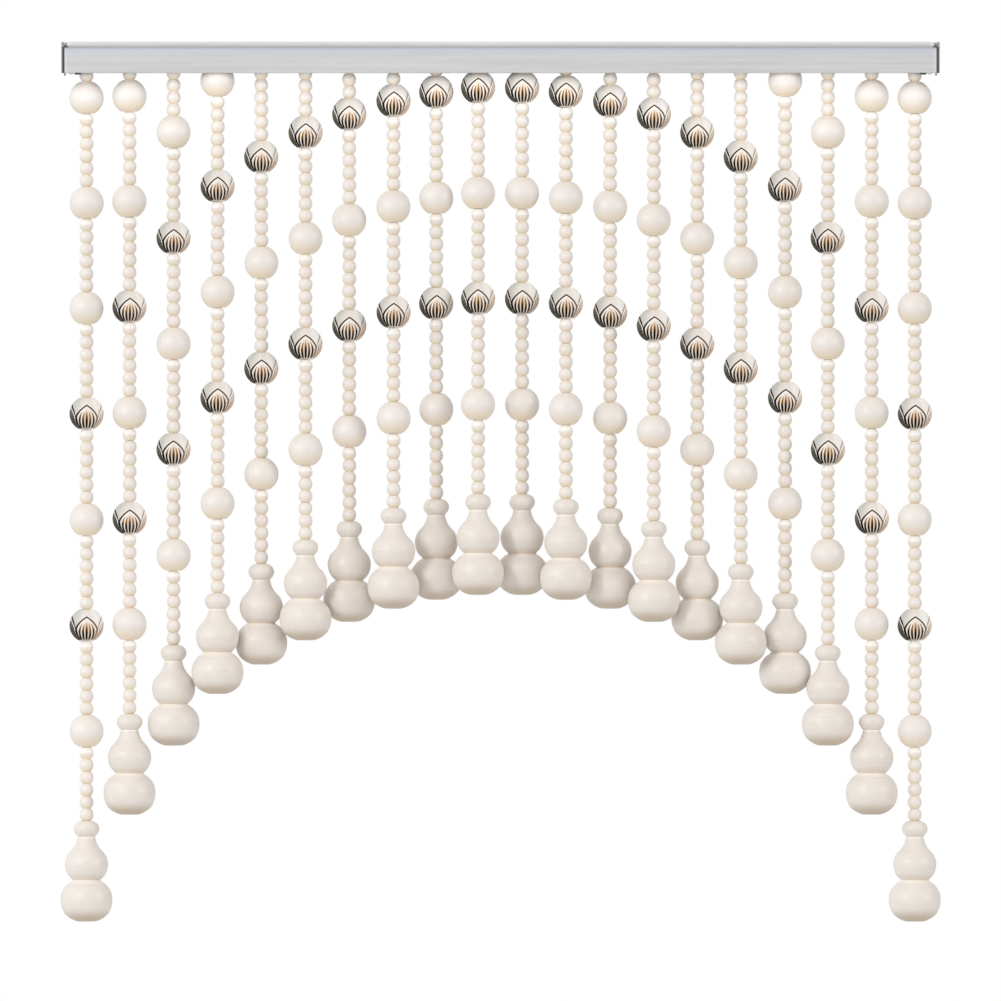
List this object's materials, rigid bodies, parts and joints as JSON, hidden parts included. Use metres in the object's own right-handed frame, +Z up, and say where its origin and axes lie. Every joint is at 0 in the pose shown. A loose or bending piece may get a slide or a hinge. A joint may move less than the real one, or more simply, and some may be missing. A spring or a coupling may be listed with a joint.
{
  "type": "bead curtain with its hanging rail",
  "caption": "Arched doorway curtain of pale turned wooden beads on strings with gourd-shaped drops, hung from a plain aluminium ceiling rail with end caps.",
  "frame": {"origin": "middle of the rail's flat top face, where it is screwed up against a lintel or ceiling", "axes": "+Z up, out of the rail's top; +X along the rail to the right as seen from the front; the front of the curtain faces -Y"},
  "size_m": [0.8019, 0.077, 0.8012],
  "materials": {
    "rail_aluminium": "satin anodised, finely brushed along its length",
    "cap_plastic": "moulded charcoal",
    "bead_wood": "bleached, turned and sanded smooth, matt",
    "gourd_wood": "bleached, turned and sanded smooth, matt",
    "carved_wood": "bleached, with stained carved petals",
    "string_cord": "waxed twisted cord",
    "button_plastic": "moulded off-white"
  },
  "bodies": {
    "root": {"rail": "rail_aluminium", "end_cap_left": "cap_plastic", "end_cap_right": "cap_plastic", "strand_01": "bead_wood", "gourd_01": "gourd_wood", "strand_02": "bead_wood", "gourd_02": "gourd_wood", "strand_03": "bead_wood", "gourd_03": "gourd_wood", "strand_04": "bead_wood", "gourd_04": "gourd_wood", "strand_05": "bead_wood", "gourd_05": "gourd_wood", "strand_06": "bead_wood", "gourd_06": "gourd_wood", "strand_07": "bead_wood", "gourd_07": "gourd_wood", "strand_08": "bead_wood", "gourd_08": "gourd_wood", "strand_09": "bead_wood", "gourd_09": "gourd_wood", "strand_10": "bead_wood", "gourd_10": "gourd_wood", "strand_11": "bead_wood", "gourd_11": "gourd_wood", "strand_12": "bead_wood", "gourd_12": "gourd_wood", "strand_13": "bead_wood", "gourd_13": "gourd_wood", "strand_14": "bead_wood", "gourd_14": "gourd_wood", "strand_15": "bead_wood", "gourd_15": "gourd_wood", "strand_16": "bead_wood", "gourd_16": "gourd_wood", "strand_17": "bead_wood", "gourd_17": "gourd_wood", "strand_18": "bead_wood", "gourd_18": "gourd_wood", "strand_19": "bead_wood", "gourd_19": "gourd_wood", "strand_20": "bead_wood", "gourd_20": "gourd_wood"}
  },
  "joints": []
}
